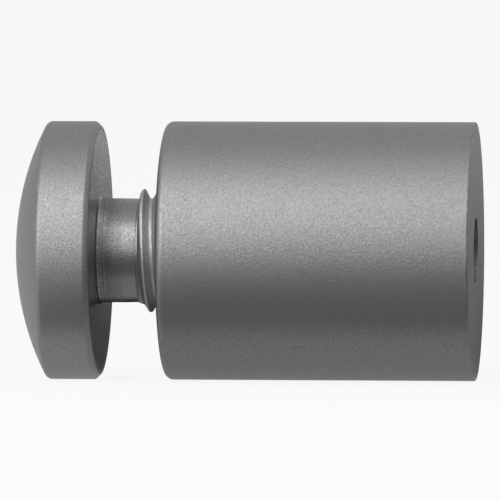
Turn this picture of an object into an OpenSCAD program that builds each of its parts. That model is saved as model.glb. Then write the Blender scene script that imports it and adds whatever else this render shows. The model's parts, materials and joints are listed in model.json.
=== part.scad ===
// Glass panel standoff: a round spacer that holds a drilled glass panel off a wall.
// The barrel is fixed to the wall by a screw through the hole in its base. The cap
// screw passes through the panel and threads into the barrel, and the panel is
// clamped in the gap between the cap's inner face and the front of the barrel.
// Both pieces are turned from the same round bar, about the X axis. The wall face
// is the plane x = 0 and the cap is towards -X. All sizes are in millimetres.

/* [Barrel] */
// Diameter of the bar that the barrel and the cap are turned from
bar_d = 25; // [22:0.5:40]
// Length of the barrel, from the wall to the panel
barrel_l = 30; // [28:1:60]
// Rounding radius of the barrel's front rim
rim_round = 0.75; // [0.2:0.05:2]
// Width of the broken edge round the wall face
edge_break = 0.2; // [0.05:0.05:0.5]
// Width of the countersink at the mouth of the threaded bore
mouth_csk = 0.5; // [0.2:0.1:1.5]

/* [Base] */
// Thickness of the base that is left for the wall screw's head to pull on
base_t = 5; // [3:0.5:7]
// Diameter of the hole for the wall screw
wall_hole_d = 6.4; // [4.5:0.1:8.4]
// Width of the chamfer on the wall side of that hole
wall_hole_chamfer = 0.3; // [0.1:0.1:0.8]

/* [Thread] */
// Major diameter of the thread
thread_d = 12; // [10:0.5:16]
// Pitch of the thread
thread_pitch = 1.5; // [1:0.25:2]
// Radial clearance of the bore round the thread
thread_clearance = 0.1; // [0.05:0.05:0.3]

/* [Cap screw] */
// Thickness of the cap, from its inner face to the edge of its crown
cap_t = 5; // [3:0.1:10]
// Height of the domed crown over that edge
crown_rise = 3.1; // [1:0.1:6]
// Rounding radius between the crown and the rim
crown_round = 0.6; // [0.1:0.05:1.5]
// Width of the chamfer round the cap's inner face
cap_chamfer = 0.55; // [0.1:0.05:1.5]
// Diameter of the plain neck under the cap
neck_d = 10.1; // [8:0.1:10.2]
// Length of the neck, from the cap to the foot of the thread's shoulder
neck_l = 3.9; // [2:0.1:8]
// Length of the sloping shoulder between the neck and the first thread
shoulder_l = 0.2; // [0.1:0.05:1]
// Fillet between the neck and the cap
neck_fillet = 0.3; // [0.1:0.05:0.8]
// Length of the stud, from the cap's inner face to its tip
stud_l = 20; // [14:0.5:23]

/* [Fitting] */
// Gap between the cap and the barrel, which the panel and its gaskets fill
panel_gap = 6.4; // [0.5:0.1:12]
// Bore left past the stud's tip when the cap is screwed down to the barrel
tip_clearance = 1; // [0.5:0.5:2]

/* [Hidden] */
$fn = 120;

// A 60 degree thread is 1.0825 pitches deep on the diameter at the basic minor
// diameter, which is also the size of the tapping drill
tapping_d = thread_d - 1.0825 * thread_pitch;
// The cap's inner face, with the gap set as it is for the panel
cap_x = -barrel_l - panel_gap;
bar_r = bar_d / 2;
// The crown is part of a sphere through its edge on the bar's diameter
crown_r = (pow(bar_r, 2) + pow(crown_rise, 2)) / (2 * crown_rise);
steel = [0.66, 0.66, 0.65];
// Cutting shapes reach this far past the faces that they cut
past = 1;

// Turns a profile about X. The profile is drawn with its radius along x and its
// place on the axis along y.
module turned() {
    rotate([0, 90, 0])
        rotate_extrude()
            children();
}

// Profile of a plain length of the given radius, from place a to place b
module length_of(r, a, b) {
    translate([0, a])
        square([r, b - a]);
}

// What a chamfer cuts from an outer corner at the origin that points to +x +y
module chamfer_waste(w) {
    polygon([[-w - past, past], [past, past], [past, -w - past]]);
}

// What a round cuts from an outer corner at the origin that points to +x +y
module round_waste(r) {
    difference() {
        translate([-r, -r])
            square(r + past);
        translate([-r, -r])
            circle(r);
    }
}

// What a 45 degree countersink cuts at place 0, widening towards +y from radius r
module countersink(r, w) {
    polygon([[0, -w], [r, -w], [r + w + past, past], [0, past]]);
}

module barrel_profile() {
    bore_r = thread_d / 2 + thread_clearance;
    bore_end = -barrel_l + stud_l + tip_clearance;
    difference() {
        length_of(bar_r, -barrel_l, 0);
        translate([bar_r, -barrel_l])
            mirror([0, 1])
                round_waste(rim_round);
        translate([bar_r, 0])
            chamfer_waste(edge_break);
        // Threaded length of the bore
        length_of(bore_r, -barrel_l - past, bore_end);
        translate([0, -barrel_l])
            mirror([0, 1])
                countersink(bore_r, mouth_csk);
        // Drilled length past the thread, down to the seat of the wall screw's head
        length_of(tapping_d / 2 + thread_clearance, -barrel_l - past, -base_t);
        length_of(wall_hole_d / 2, -base_t - past, past);
        countersink(wall_hole_d / 2, wall_hole_chamfer);
    }
}

module barrel() {
    color(steel)
        turned()
            barrel_profile();
}

// Profile of the cap, with its inner face at place 0 and its crown towards -y
module cap_profile() {
    sphere_y = crown_r - crown_rise - cap_t;
    // Centre of the round, which touches the rim and the crown from inside
    round_x = bar_r - crown_round;
    round_y = sphere_y - sqrt(pow(crown_r - crown_round, 2) - pow(round_x, 2));
    touch = crown_r / (crown_r - crown_round);
    difference() {
        intersection() {
            length_of(bar_r, -cap_t - crown_rise, 0);
            translate([0, sphere_y])
                circle(crown_r, $fn = 4 * $fn);
        }
        difference() {
            polygon([
                [round_x, round_y],
                [touch * round_x, sphere_y + touch * (round_y - sphere_y)],
                [touch * round_x, round_y - past],
                [bar_r + past, round_y - past],
                [bar_r + past, round_y],
            ]);
            translate([round_x, round_y])
                circle(crown_round);
        }
        translate([bar_r, 0])
            chamfer_waste(cap_chamfer);
    }
}

// Profile of the neck and the stud, from the cap's inner face to the tip
module stud_profile() {
    neck_r = neck_d / 2;
    stud_r = thread_d / 2;
    polygon([
        [0, -past],
        [neck_r, -past],
        [neck_r, neck_l],
        [stud_r, neck_l + shoulder_l],
        [stud_r, stud_l - (stud_r - neck_r)],
        [neck_r, stud_l],
        [0, stud_l],
    ]);
    difference() {
        length_of(neck_r + neck_fillet, -past, neck_fillet);
        translate([neck_r + neck_fillet, neck_fillet])
            circle(neck_fillet);
    }
}

module cap_screw() {
    color(steel)
        translate([cap_x, 0, 0])
            turned() {
                cap_profile();
                stud_profile();
            }
}

barrel();
cap_screw();
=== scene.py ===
"""Looks of a glass panel standoff: a turned barrel and the cap screw that clamps a panel to it.

Both pieces are turned from round bar about the X axis. The wall face is x = 0 and the cap
points to -X. The script works in millimetres and turns them to metres as each mesh is made.
"""
import json
import math

import bmesh
import bpy
import numpy as np
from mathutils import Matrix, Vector


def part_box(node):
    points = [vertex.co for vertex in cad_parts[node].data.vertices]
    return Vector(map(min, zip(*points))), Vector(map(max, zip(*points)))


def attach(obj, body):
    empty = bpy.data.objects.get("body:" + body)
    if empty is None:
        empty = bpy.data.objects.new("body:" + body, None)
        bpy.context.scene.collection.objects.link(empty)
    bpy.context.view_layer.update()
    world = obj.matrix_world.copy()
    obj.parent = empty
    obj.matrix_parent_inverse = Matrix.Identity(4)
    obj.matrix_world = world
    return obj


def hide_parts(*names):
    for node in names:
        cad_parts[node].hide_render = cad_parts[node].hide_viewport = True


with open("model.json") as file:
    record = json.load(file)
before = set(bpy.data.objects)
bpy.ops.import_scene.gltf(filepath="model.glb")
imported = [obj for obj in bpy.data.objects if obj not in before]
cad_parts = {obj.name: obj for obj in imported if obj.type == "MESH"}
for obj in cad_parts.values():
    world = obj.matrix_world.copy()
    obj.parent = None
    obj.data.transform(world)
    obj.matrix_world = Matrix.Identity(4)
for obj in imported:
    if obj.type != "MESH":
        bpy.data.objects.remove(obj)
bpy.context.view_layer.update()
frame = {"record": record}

MM = 0.001

# ---------------------------------------------------------------- sizes from the frame


def ends_of(node):
    """Lowest x, highest x and radius of a turned CAD node, in millimetres."""
    low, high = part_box(node)
    return low.x / MM, high.x / MM, high.z / MM


def mount_named(name):
    """The mount of that name in the record."""
    return next(m for m in frame["record"]["mounts"] if m["name"] == name)


FRONT_X, WALL_X, BAR_R = ends_of("barrel")
CROWN_X, TIP_X, CAP_R = ends_of("cap_screw")
CAP_FACE_X = mount_named("cap_face")["pos_m"][0] / MM
WALL_HOLE_R = mount_named("wall_screw_hole")["dims"]["r_mm"]

# ---------------------------------------------------------------- sizes of the barrel

RIM_ROUND = 0.75
# The edge of the wall face is broken by hand, so its width wanders
EDGE_BREAK = 0.1
EDGE_WANDER = 0.05
EDGE_WAVES = range(3, 60)
EDGE_SEED = 3
# The ring of the front face that shows the lines of the facing tool, around the mouth
FACED_RING = 1.0
MOUTH_CSK = 0.5
MOUTH_ROUND = 0.06
BORE_R = 6.1
BORE_END_X = WALL_X - 9.0
DRILL_R = 5.288
# Pocket for the head of the wall screw, and the edges of the holes at its two ends
HEAD_SEAT_X = WALL_X - 5.0
HEAD_SEAT_ROUND = 0.1
HOLE_EDGE_ROUND = 0.03
WALL_HOLE_CHAMFER = 0.05

# ---------------------------------------------------------------- sizes of the cap screw

# Cap. The blasted skin goes on past its chamfer for a short way over the inner face
CAP_T = 5.0
CROWN_ROUND = 0.6
CAP_CHAMFER = 0.46
CHAMFER_ROUND = 0.3
FACE_ROUND = 0.15
BLASTED_FACE = 0.4
# Neck
NECK_R = 5.04
NECK_FILLET = 0.24
# Rings that the tool left at the root of the neck, as distances from the cap's face
ROOT_RINGS = (0.57, 0.89)
RING_HALF = 0.1
RING_DEEP = 0.012
# From here on the neck is smoother, and its tone a shade lighter, as painted highlight for the
# brighter light next to the thread. It narrows by a hair down to the mark where the tool stopped
HIGHLIT_NECK_X = CAP_FACE_X + 2.5
TOOL_MARK_X = CAP_FACE_X + 3.79
TOOL_MARK_DEEP = 0.03
TOOL_MARK_RISE = 0.05
# At the bottom the shoulder leans back, and the first groove starts a little further on
SHOULDER_X = CAP_FACE_X + 4.03
SHOULDER_STEP = 0.03
SHOULDER_LEAN = 0.25
SHOULDER_SHIFT = 0.17

# ---------------------------------------------------------------- sizes of the thread

# M12 x 1.5, right hand. Its crest passes the top of the stud at CREST_X
PITCH = 1.5
STUD_R = 5.98
ROOT_R = 5.04
CREST_HALF = 0.06
FLANK_RUN = 0.54
FLANK_SLOPE = (STUD_R - ROOT_R) / FLANK_RUN
CREST_X = CAP_FACE_X + 4.2
CREST_ROUND = 0.09
ROOT_ROUND = 0.07
# The tool is still drawn back as it enters, so the first turn of its groove is shallower
DRAWN_BACK = 0.22
DRAWN_BACK_TO_X = CAP_FACE_X + 4.95
# Before ENTRY_X the start of the thread slopes down to the shoulder, as steep as its flank
ENTRY_X = CAP_FACE_X + 4.13
ENTRY_ROUND = 0.09
# In the barrel: full at the mouth, and a shallow trace where the stud always covers it
THREAD_PLAY = 0.06
BARREL_CREST_R = 5.2
BARREL_CREST_ROUND = 0.05
BARREL_ROOT_ROUND = 0.03
FULL_THREAD_TO_X = FRONT_X + 3.0
TRACE_FROM_X = FRONT_X + 3.8
TRACE = 0.06

# ---------------------------------------------------------------- fineness of the meshes

AROUND = 192
ANGLES = np.arange(AROUND) * 2 * math.pi / AROUND
# Nearness of each angle to the bottom of the bar, 1 there and next to nothing above its side
BOTTOM = ((1 - np.cos(ANGLES)) / 2) ** 4
THREAD_STEP = 0.2
# Largest turn between two flats of a round
ARC_TURN = math.radians(9)
CORNER_TURN = math.radians(15)
THREAD_TURN = math.radians(20)
CROWN_TURN = math.radians(1)
CROWN_EDGE_TURN = math.radians(7)
# Two faces that meet at more than this are shaded as a sharp edge
SHARP_TURN = math.radians(32)

# ---------------------------------------------------------------- outlines


def arc(centre_x, centre_r, radius, start, end, turn=ARC_TURN):
    """Points on an arc of an outline. Angles start at +X and turn towards +R."""
    count = max(2, round(abs(end - start) / turn))
    angles = np.linspace(start, end, count + 1)
    return [(centre_x + radius * math.cos(a), centre_r + radius * math.sin(a)) for a in angles]


def soften(corners, flat_turn=CORNER_TURN):
    """Outline through (x, r, round) corners, with an arc of that radius in place of each."""
    outline = [corners[0][:2]]
    for before, here, after in zip(corners, corners[1:], corners[2:]):
        corner = Vector(here[:2])
        way_in = (corner - Vector(before[:2])).normalized()
        way_out = (Vector(after[:2]) - corner).normalized()
        turn = way_in.angle(way_out)
        radius = here[2]
        if radius == 0:
            outline.append(tuple(corner))
            continue
        middle = corner + (way_out - way_in).normalized() * radius / math.cos(turn / 2)
        spoke = corner - way_in * radius * math.tan(turn / 2) - middle
        side = math.copysign(1, way_in.x * way_out.y - way_in.y * way_out.x)
        count = max(1, round(turn / flat_turn))
        for k in range(count + 1):
            a = side * turn * k / count
            outline.append((
                middle.x + spoke.x * math.cos(a) - spoke.y * math.sin(a),
                middle.y + spoke.x * math.sin(a) + spoke.y * math.cos(a),
            ))
    outline.append(corners[-1][:2])
    return outline


def fill_in(outline, gap):
    """The outline with points added, so that no two are further apart than the gap."""
    full = [outline[0]]
    for here, after in zip(outline, outline[1:]):
        count = math.ceil(math.dist(here, after) / gap)
        for k in range(1, count + 1):
            full.append(tuple(h + (a - h) * k / count for h, a in zip(here, after)))
    return full


def wander(seed, waves):
    """A value for each angle that wanders about zero, mostly within one either way."""
    rng = np.random.default_rng(seed)
    value = np.zeros(AROUND)
    for wave in waves:
        value += rng.normal() * np.cos(wave * ANGLES + rng.uniform(0, 2 * math.pi))
    return value / value.std()


# ---------------------------------------------------------------- turned meshes


def on_bar(x, r, angle):
    """A point at that radius. The angle starts at the top and turns towards the front, -Y."""
    return x, -r * math.sin(angle), r * math.cos(angle)


def in_scene(name, data):
    """A new object of the scene that holds a mesh, a lamp or a camera."""
    made = bpy.data.objects.new(name, data)
    bpy.context.scene.collection.objects.link(made)
    return made


class Turning:
    """A mesh built ring by ring along the X axis, as a lathe leaves the piece."""

    def __init__(self):
        self.points = []
        self.faces = []
        self.finishes = []

    def point(self, x, y, z):
        """Adds a point and gives its number."""
        self.points.append((x, y, z))
        return len(self.points) - 1

    def ring(self, x, r):
        """One ring of points. x and r are numbers, or a value for each angle."""
        xs = np.broadcast_to(x, ANGLES.shape)
        rs = np.broadcast_to(r, ANGLES.shape)
        return [self.point(*on_bar(x, r, a)) for x, r, a in zip(xs, rs, ANGLES)]

    def face(self, corners, finish):
        """Adds a face, without the corners that fall together, if three or more are left."""
        kept = [c for k, c in enumerate(corners) if c != corners[k - 1]]
        if len(set(kept)) > 2:
            self.faces.append(kept)
            self.finishes.append(finish)

    def skin(self, one, other, finish):
        """Faces between two rings."""
        for j in range(AROUND):
            k = (j + 1) % AROUND
            self.face([one[j], other[j], other[k], one[k]], finish)

    def follow(self, start, outline, finish):
        """Turns the outline from its second point on, joined to the ring start, which stands
        at its first. Gives the last ring."""
        for x, r in outline[1:]:
            ring = self.ring(x, r)
            self.skin(start, ring, finish)
            start = ring
        return start

    def close(self, ring, x, finish):
        """Closes a ring with a fan to the axis."""
        middle = self.point(x, 0, 0)
        for j in range(AROUND):
            self.face([ring[j], middle, ring[(j + 1) % AROUND]], finish)

    def helix(self, tooth, start_x, end_x, limit, finish):
        """A right-hand thread between two planes, and its first and last ring. tooth is its
        outline over one pitch, as (distance from the crest's middle, radius), and
        limit(x, r) trims the radius at a place. start_x may have a value for each angle."""
        offsets, radii = np.array(tooth).T
        advance = PITCH * ANGLES / (2 * math.pi)

        def radius_at(x):
            phase = (x - CREST_X - advance - offsets[0]) % PITCH + offsets[0]
            return limit(x, np.interp(phase, offsets, radii))

        first = self.ring(start_x, radius_at(start_x))
        last = self.ring(end_x, radius_at(end_x))
        starts = np.broadcast_to(start_x, ANGLES.shape)
        rows_per_turn = len(tooth) - 1
        # There are spare turns at either end, which the two planes cut off
        first_turn = math.floor((starts.min() - CREST_X) / PITCH) - 2
        last_turn = math.ceil((end_x - CREST_X) / PITCH) + 1
        rows = []
        for turn in range(first_turn, last_turn + 1):
            for offset, radius in tooth[:-1]:
                row = []
                for j in range(AROUND):
                    x = CREST_X + turn * PITCH + offset + advance[j]
                    if x <= starts[j]:
                        row.append(first[j])
                    elif x >= end_x:
                        row.append(last[j])
                    else:
                        row.append(self.point(*on_bar(x, limit(x, radius), ANGLES[j])))
                rows.append(row)
        # A row that has gone once round goes on as the row one turn further
        for i in range(len(rows) - 1 - rows_per_turn):
            one = rows[i] + [rows[i + rows_per_turn][0]]
            other = rows[i + 1] + [rows[i + 1 + rows_per_turn][0]]
            for j in range(AROUND):
                self.face([one[j], other[j], other[j + 1], one[j + 1]], finish)
        return first, last

    def make(self, name, materials):
        """The object, with one slot for each finish that its faces have."""
        mesh = bpy.data.meshes.new(name)
        mesh.from_pydata([Vector(p) * MM for p in self.points], [], self.faces)
        order = sorted(set(self.finishes))
        for finish in order:
            mesh.materials.append(materials[finish])
        mesh.polygons.foreach_set("material_index", [order.index(f) for f in self.finishes])
        solid = bmesh.new()
        solid.from_mesh(mesh)
        bmesh.ops.recalc_face_normals(solid, faces=solid.faces)
        solid.to_mesh(mesh)
        solid.free()
        mesh.shade_smooth()
        mesh.set_sharp_from_angle(angle=SHARP_TURN)
        piece = in_scene(name, mesh)
        even = piece.modifiers.new("even_shading", "WEIGHTED_NORMAL")
        even.keep_sharp = True
        return piece


# ---------------------------------------------------------------- thread


def thread_tooth(outer_half, outer_r, inner_half, inner_r, outer_round, inner_round):
    """Outline of one pitch of thread, with the land at its outer radius in the middle. The
    halves are the distances from there to the ends of a flank."""
    return fill_in(soften([
        (-PITCH / 2, inner_r, 0),
        (-inner_half, inner_r, inner_round),
        (-outer_half, outer_r, outer_round),
        (outer_half, outer_r, outer_round),
        (inner_half, inner_r, inner_round),
        (PITCH / 2, inner_r, 0),
    ], THREAD_TURN), THREAD_STEP)


def stud_tooth():
    """Thread on the stud, with its crest outside."""
    return thread_tooth(CREST_HALF, STUD_R, CREST_HALF + FLANK_RUN, ROOT_R, CREST_ROUND, ROOT_ROUND)


def bore_tooth():
    """Thread in the barrel, with its root outside and its flanks a little off the stud's."""
    clear_half = CREST_HALF + THREAD_PLAY
    outer_half = clear_half - (BORE_R - STUD_R) / FLANK_SLOPE
    inner_half = clear_half + (STUD_R - BARREL_CREST_R) / FLANK_SLOPE
    return thread_tooth(
        outer_half, BORE_R, inner_half, BARREL_CREST_R, BARREL_ROOT_ROUND, BARREL_CREST_ROUND)


def stud_limit(x, r):
    """The thread on the stud starts shallow and ends in the chamfer of the tip."""
    back = np.clip((DRAWN_BACK_TO_X - x) / (DRAWN_BACK_TO_X - SHOULDER_X), 0, 1)
    before = ENTRY_X - x
    entry = STUD_R - FLANK_SLOPE / 2 * (before + np.hypot(before, ENTRY_ROUND))
    return np.minimum(np.minimum(r + DRAWN_BACK * back, entry), ROOT_R + TIP_X - x)


def bore_limit(x, r):
    """The thread in the barrel starts in the countersink of its mouth and fades to a trace."""
    fade = np.clip((x - FULL_THREAD_TO_X) / (TRACE_FROM_X - FULL_THREAD_TO_X), 0, 1)
    shallow = BARREL_CREST_R + fade * (BORE_R - TRACE - BARREL_CREST_R)
    return np.maximum(np.maximum(r, shallow), BORE_R + MOUTH_CSK - (x - FRONT_X))


# ---------------------------------------------------------------- cap screw


def crown_outlines():
    """The crown, which is part of a sphere, and the small round that joins it to the rim. Both
    start where they meet. The crown stops one step before the axis."""
    rise = CAP_FACE_X - CAP_T - CROWN_X
    crown_r = (CAP_R ** 2 + rise ** 2) / (2 * rise)
    sphere_x = CROWN_X + crown_r
    round_r = CAP_R - CROWN_ROUND
    round_x = sphere_x - math.sqrt((crown_r - CROWN_ROUND) ** 2 - round_r ** 2)
    joint = math.pi - math.asin(round_r / (crown_r - CROWN_ROUND))
    crown = arc(sphere_x, 0, crown_r, joint, math.pi, CROWN_TURN)
    edge = arc(round_x, round_r, CROWN_ROUND, joint, math.pi / 2, CROWN_EDGE_TURN)
    return crown[:-1], edge


def neck_outlines(start):
    """The neck up to HIGHLIT_NECK_X, with the rings at its root, and from there to the shoulder."""
    turned = [start]
    for ring in ROOT_RINGS:
        middle = CAP_FACE_X + ring
        turned += [
            (middle - RING_HALF, NECK_R),
            (middle, NECK_R - RING_DEEP),
            (middle + RING_HALF, NECK_R),
        ]
    turned.append((HIGHLIT_NECK_X, NECK_R))
    tooled = [
        turned[-1],
        (TOOL_MARK_X, NECK_R - TOOL_MARK_DEEP),
        (TOOL_MARK_X + TOOL_MARK_RISE, NECK_R),
        (SHOULDER_X - SHOULDER_STEP - SHOULDER_LEAN * BOTTOM, NECK_R),
    ]
    return turned, tooled


def turn_cap_screw():
    """Cap, neck and threaded stud, turned in one piece."""
    piece = Turning()
    crown, edge = crown_outlines()
    crown_edge = piece.ring(*crown[0])
    piece.close(piece.follow(crown_edge, crown, "blasted"), CROWN_X, "blasted")
    rim = soften([
        edge[-1],
        (CAP_FACE_X - CAP_CHAMFER, CAP_R, CHAMFER_ROUND),
        (CAP_FACE_X, CAP_R - CAP_CHAMFER, FACE_ROUND),
        (CAP_FACE_X, CAP_R - CAP_CHAMFER - BLASTED_FACE, 0),
    ])
    rim_end = piece.follow(piece.follow(crown_edge, edge, "blasted"), rim, "blasted")
    fillet_r = NECK_R + NECK_FILLET
    face = [rim[-1], (CAP_FACE_X, fillet_r)]
    face_end = piece.follow(rim_end, face, "inner")
    fillet = arc(CAP_FACE_X + NECK_FILLET, fillet_r, NECK_FILLET, math.pi, 1.5 * math.pi)
    fillet_end = piece.follow(face_end, fillet, "inner")
    turned, tooled = neck_outlines(fillet[-1])
    neck_end = piece.follow(piece.follow(fillet_end, turned, "turned"), tooled, "tooled")
    shoulder, tip = piece.helix(
        stud_tooth(), SHOULDER_X + SHOULDER_SHIFT * BOTTOM, TIP_X, stud_limit, "threaded")
    piece.skin(neck_end, shoulder, "threaded")
    piece.close(tip, TIP_X, "faced")
    return piece


# ---------------------------------------------------------------- barrel


def turn_barrel():
    """Bar with a tapped hole from the front and a drilled base for the wall screw."""
    piece = Turning()
    broken = EDGE_BREAK + EDGE_WANDER * np.tanh(wander(EDGE_SEED, EDGE_WAVES))
    hole_edge = piece.ring(WALL_X, WALL_HOLE_R + WALL_HOLE_CHAMFER)
    face_edge = piece.ring(WALL_X, BAR_R - broken)
    piece.skin(hole_edge, face_edge, "wall")
    side_edge = piece.ring(WALL_X - broken, BAR_R)
    piece.skin(face_edge, side_edge, "faced")
    mouth_r = BORE_R + MOUTH_CSK
    side = soften([
        (WALL_X - EDGE_BREAK, BAR_R),
        (FRONT_X, BAR_R, RIM_ROUND),
        (FRONT_X, mouth_r + FACED_RING, 0),
    ], ARC_TURN)
    rim_end = piece.follow(side_edge, side, "blasted")
    mouth = soften([
        side[-1],
        (FRONT_X, mouth_r, MOUTH_ROUND),
        (FRONT_X + MOUTH_CSK, BORE_R, 0),
    ])
    mouth_end = piece.follow(rim_end, mouth[:-1], "faced")
    first, last = piece.helix(
        bore_tooth(), FRONT_X + MOUTH_CSK, BORE_END_X, bore_limit, "threaded")
    piece.skin(mouth_end, first, "threaded")
    base = soften([
        (BORE_END_X, BORE_R),
        (BORE_END_X, DRILL_R, HOLE_EDGE_ROUND),
        (HEAD_SEAT_X, DRILL_R, HEAD_SEAT_ROUND),
        (HEAD_SEAT_X, WALL_HOLE_R, HOLE_EDGE_ROUND),
        (WALL_X - WALL_HOLE_CHAMFER, WALL_HOLE_R, 0),
        (WALL_X, WALL_HOLE_R + WALL_HOLE_CHAMFER, 0),
    ])
    piece.skin(piece.follow(last, base[:-1], "turned"), hole_edge, "faced")
    return piece


# ---------------------------------------------------------------- materials

# Most values of a noise pattern lie between these two
NOISE_LOW, NOISE_HIGH = 0.3, 0.7
# Depth of a blasted pit, as a share of its width
PIT_DEEP = 1 / 8
# Width of the streaks that a turning tool leaves in the colour and the polish
STREAK = 0.5
# A wave pattern of scale 1 repeats at this distance
WAVE_REPEAT = math.pi / 10


def linear(hex_colour):
    """Linear RGBA of an sRGB hex colour."""
    parts = [int(hex_colour[k:k + 2], 16) / 255 for k in (1, 3, 5)]
    return [p / 12.92 if p <= 0.04045 else ((p + 0.055) / 1.055) ** 2.4 for p in parts] + [1]


def add(tree, kind, values=None, links=None, **settings):
    """Adds a node, with its settings, the values of its inputs and its links, each of which
    is an input's name and the (node, output) that it comes from."""
    made = tree.nodes.new(kind)
    for name, value in settings.items():
        setattr(made, name, value)
    for name, value in (values or {}).items():
        made.inputs[name].default_value = value
    for name, (source, output) in (links or {}).items():
        tree.links.new(source.outputs[output], made.inputs[name])
    return made


def per_mm(size):
    """Texture scale at which a pattern repeats about once in that many millimetres."""
    return 1 / (size * MM)


def bare(name):
    """An empty material and its node tree."""
    finish = bpy.data.materials.new(name)
    finish.use_nodes = True
    finish.node_tree.nodes.clear()
    return finish, finish.node_tree


def steel(tree, tone, polish, relief, deep, colours, roughness):
    """The shader of bare stainless steel. Its colour follows the pattern tone, its roughness
    the pattern polish, and its surface the pattern relief, which is that deep."""
    low_colour, high_colour = colours
    colour = add(tree, "ShaderNodeMapRange",
                 {"From Min": Vector((NOISE_LOW,) * 3), "From Max": Vector((NOISE_HIGH,) * 3),
                  "To Min": linear(low_colour)[:3], "To Max": linear(high_colour)[:3]},
                 {"Vector": (tone, "Fac")}, data_type="FLOAT_VECTOR")
    low_rough, high_rough = roughness
    rough = add(tree, "ShaderNodeMapRange",
                {"From Min": NOISE_LOW, "From Max": NOISE_HIGH,
                 "To Min": low_rough, "To Max": high_rough},
                {"Value": (polish, "Fac")})
    bump = add(tree, "ShaderNodeBump", {"Strength": 1.0, "Distance": deep * MM},
               {"Height": (relief, "Fac")})
    shader = add(tree, "ShaderNodeBsdfPrincipled", {"Metallic": 1.0},
                 {"Base Color": (colour, "Vector"), "Roughness": (rough, "Result"),
                  "Normal": (bump, "Normal")})
    add(tree, "ShaderNodeOutputMaterial", None, {"Surface": (shader, "BSDF")})


def blasted_steel(name, pit, colours, roughness):
    """Stainless steel blasted with glass beads, an even satin grey with a pitted grain that
    spreads the light widely. The bottoms of the pits are the rougher part. The beads leave
    pits of some 0.05 mm, which are drawn four to six times as wide, so that they show."""
    finish, tree = bare(name)
    place = add(tree, "ShaderNodeTexCoord")
    pits = add(tree, "ShaderNodeTexNoise",
               {"Scale": per_mm(pit), "Detail": 2.0, "Roughness": 0.6},
               {"Vector": (place, "Object")})
    tone = add(tree, "ShaderNodeTexNoise", {"Scale": per_mm(pit), "Detail": 1.0},
               {"Vector": (place, "Object")})
    smooth, rough = roughness
    steel(tree, tone, pits, pits, pit * PIT_DEEP, colours, (rough, smooth))
    return finish


def faced_steel(name, line, deep, colours, roughness):
    """Stainless steel faced on a lathe, with the rings that the tool leaves, which draw the
    light out into fine bright lines around the axis. line is the feed of the tool."""
    finish, tree = bare(name)
    place = add(tree, "ShaderNodeTexCoord")
    feed = add(tree, "ShaderNodeTexWave",
               {"Scale": per_mm(line) * WAVE_REPEAT, "Distortion": 1.2, "Detail": 2.0,
                "Detail Scale": 3.0},
               {"Vector": (place, "Object")}, wave_type="RINGS", rings_direction="X")
    streaks = add(tree, "ShaderNodeTexNoise", {"Scale": per_mm(STREAK), "Detail": 3.0},
                  {"Vector": (place, "Object")})
    steel(tree, streaks, streaks, feed, deep, colours, roughness)
    return finish


FINISHES = {
    # Skin of both pieces: the even grey that is seen first, with soft wide highlights
    "blasted": blasted_steel("blasted_steel", 0.2, ("#8d8d8d", "#9b9b9b"), (0.42, 0.55)),
    # Turned neck, blasted more lightly, so that its highlight is brighter and narrower
    "turned": blasted_steel("lightly_blasted_steel", 0.2, ("#868686", "#989898"), (0.35, 0.43)),
    # End of the neck: smoother, with the sharpest highlight, and a shade lighter as painted
    # highlight
    "tooled": blasted_steel("tooled_neck_steel", 0.2, ("#888888", "#9a9a9a"), (0.29, 0.36)),
    # Mouth, hole edge and stud tip as the tool left them: fine rings, smoother than the skin
    "faced": faced_steel("faced_steel", 0.15, 0.003, ("#888888", "#969696"), (0.36, 0.46)),
    # Inner face of the cap: coarser and more uneven, because the neck shields it from the jet
    "inner": blasted_steel("inner_face_steel", 0.3, ("#808080", "#a2a2a2"), (0.3, 0.4)),
    # Wall face: as coarse, and as dull as the skin
    "wall": blasted_steel("wall_face_steel", 0.3, ("#808080", "#a6a6a6"), (0.4, 0.52)),
    # Cut thread, blasted after it was cut: the palest and dullest, with no hard highlights
    "threaded": blasted_steel("blasted_thread_steel", 0.2, ("#b8b8b8", "#cacaca"), (0.5, 0.62)),
}

# ---------------------------------------------------------------- the two pieces

barrel = turn_barrel().make("turned_barrel", FINISHES)
cap_screw = turn_cap_screw().make("turned_cap_screw", FINISHES)

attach(barrel, "barrel")
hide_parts("barrel")
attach(cap_screw, "cap_screw")
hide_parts("cap_screw")

# ---------------------------------------------------------------- floor, and the cards that paint reflections in the metal

FLOOR_END = 6000
# Share of the floor's white that is its own light
FLOOR_GLOW = 0.93
# Where one card ends and the next begins
CARDS_END = 450
REAR_CARD_END = 600
CAP_LEFT_X = -45
CAP_RIGHT_X = -36
CARDS_RIGHT_X = 15
UNDER_FRONT_Y = -12
UNDER_REAR_Y = 5
# The cards lie this far above the floor
CARD_LIFT = 0.05


def sheet_of(name, left, right, front, back, height, finish):
    """A flat sheet that isn't part of the object, with its edges in millimetres."""
    corners = [(left, front), (right, front), (right, back), (left, back)]
    mesh = bpy.data.meshes.new(name)
    mesh.from_pydata([Vector((x, y, height)) * MM for x, y in corners], [], [(0, 1, 2, 3)])
    mesh.materials.append(finish)
    flat = in_scene(name, mesh)
    return flat


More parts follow.
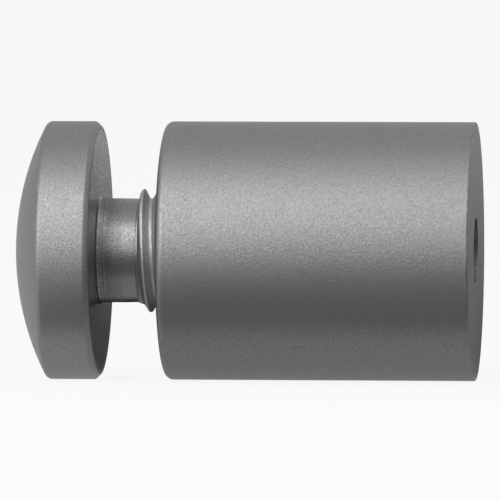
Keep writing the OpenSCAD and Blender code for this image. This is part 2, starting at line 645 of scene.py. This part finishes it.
def white_paper(glow_share):
    """Matt white paper. Part of its white is its own light, for the camera, for reflections
    and through glass, so that it stays pale and still takes the object's shadow."""
    finish, tree = bare("white_paper")
    rays = add(tree, "ShaderNodeLightPath")
    seen = add(tree, "ShaderNodeMath", None,
               {0: (rays, "Is Camera Ray"), 1: (rays, "Is Glossy Ray")}, operation="MAXIMUM")
    seen = add(tree, "ShaderNodeMath", None,
               {0: (seen, 0), 1: (rays, "Is Transmission Ray")}, operation="MAXIMUM")
    share = add(tree, "ShaderNodeMath", {1: glow_share}, {0: (seen, 0)}, operation="MULTIPLY")
    paper = add(tree, "ShaderNodeBsdfDiffuse", {"Color": linear("#f0f0ee")})
    glow = add(tree, "ShaderNodeEmission", {"Color": linear("#fbfbfa"), "Strength": 1.0})
    both = add(tree, "ShaderNodeMixShader", None,
               {0: (share, 0), 1: (paper, "BSDF"), 2: (glow, "Emission")})
    add(tree, "ShaderNodeOutputMaterial", None, {"Surface": (both, "Shader")})
    return finish


def painted_reflection_card(name, left, right, front, back, tone):
    """A grey card that glows evenly, lies on the floor and is seen in the metal alone. It is a
    painted reflection, which gives the piece the dark and light bands of its underside."""
    finish, tree = bare(name)
    glow = add(tree, "ShaderNodeEmission", {"Color": linear(tone), "Strength": 1.0})
    add(tree, "ShaderNodeOutputMaterial", None, {"Surface": (glow, "Emission")})
    card = sheet_of(name, left, right, front, back, -BAR_R + CARD_LIFT, finish)
    card.visible_camera = False
    card.visible_diffuse = False
    card.visible_shadow = False


sheet_of("floor", -FLOOR_END, FLOOR_END, -FLOOR_END, FLOOR_END, -BAR_R, white_paper(FLOOR_GLOW))
# Glowing cards seen only in the metal, as painted reflections: pale to the left and beneath, mid
# grey in front, dark to the right and black behind
painted_reflection_card("left_card", -CARDS_END, CAP_LEFT_X, -CARDS_END, CARDS_END, "#d3d3d3")
painted_reflection_card("front_card", CAP_LEFT_X, CARDS_RIGHT_X, -CARDS_END, UNDER_FRONT_Y, "#808080")
painted_reflection_card("cap_card", CAP_LEFT_X, CAP_RIGHT_X, UNDER_FRONT_Y, UNDER_REAR_Y, "#c8c8c8")
painted_reflection_card("under_card", CAP_RIGHT_X, CARDS_RIGHT_X, UNDER_FRONT_Y, UNDER_REAR_Y, "#b4b4b4")
painted_reflection_card("rear_card", CAP_LEFT_X, CARDS_RIGHT_X, UNDER_REAR_Y, REAR_CARD_END, "#0c0c0c")
painted_reflection_card("right_card", CARDS_RIGHT_X, CARDS_END, -CARDS_END, CARDS_END, "#464646")

# ---------------------------------------------------------------- light

MIDDLE = Vector(((CROWN_X + WALL_X) / 2, 0, 0)) * MM
SKY_LIGHT = 0.59


def way_to(azimuth, elevation):
    """Direction from the object, in degrees from the front and turning to the right, and in
    degrees above the floor."""
    a, e = math.radians(azimuth), math.radians(elevation)
    return Vector((math.sin(a) * math.cos(e), -math.cos(a) * math.cos(e), math.sin(e)))


def soft_lamp(name, azimuth, elevation, distance, width, height, strength):
    """A soft box that looks at the middle of the object. Strength is the brightness of its
    face, where 1 is white."""
    lamp = bpy.data.lights.new(name, "AREA")
    lamp.shape = "RECTANGLE"
    lamp.size = width * MM
    lamp.size_y = height * MM
    lamp.energy = strength * math.pi * lamp.size * lamp.size_y
    held = in_scene(name, lamp)
    way = way_to(azimuth, elevation)
    held.location = MIDDLE + way * distance * MM
    held.rotation_euler = way.to_track_quat("Z", "Y").to_euler()
    held.visible_camera = False


soft_lamp("key_lamp", azimuth=-28, elevation=31, distance=330,
          width=240, height=366, strength=2.42)
soft_lamp("side_lamp", azimuth=-78, elevation=22, distance=400,
          width=200, height=300, strength=0.3)
soft_lamp("fill_lamp", azimuth=45, elevation=44, distance=600,
          width=170, height=960, strength=1.95)

world = bpy.data.worlds.new("studio")
bpy.context.scene.world = world
world.use_nodes = True
world.node_tree.nodes.clear()
sky = add(world.node_tree, "ShaderNodeBackground",
          {"Color": linear("#ffffff"), "Strength": SKY_LIGHT})
add(world.node_tree, "ShaderNodeOutputWorld", None, {"Surface": (sky, "Background")})

# ---------------------------------------------------------------- camera

# A long lens from afar, so that the outlines keep nearly parallel. It stands around STAND and
# looks at AIM, a little beside it, which centres the object in the frame
STAND = Vector((-22, 0, 0)) * MM
AIM = Vector((-21.894, 0, 0.073)) * MM
CAMERA_AWAY = 925
CAMERA_AZIMUTH = 5.15
CAMERA_ELEVATION = 2.5

camera_data = bpy.data.cameras.new("camera")
camera_data.sensor_width = 36
camera_data.lens = 688.5
camera_data.clip_start = 0.05
camera_data.clip_end = 20
camera = in_scene("camera", camera_data)
camera.location = STAND + way_to(CAMERA_AZIMUTH, CAMERA_ELEVATION) * CAMERA_AWAY * MM
camera.rotation_euler = (camera.location - AIM).to_track_quat("Z", "Y").to_euler()
bpy.context.scene.camera = camera
bpy.context.scene.view_settings.view_transform = "Standard"
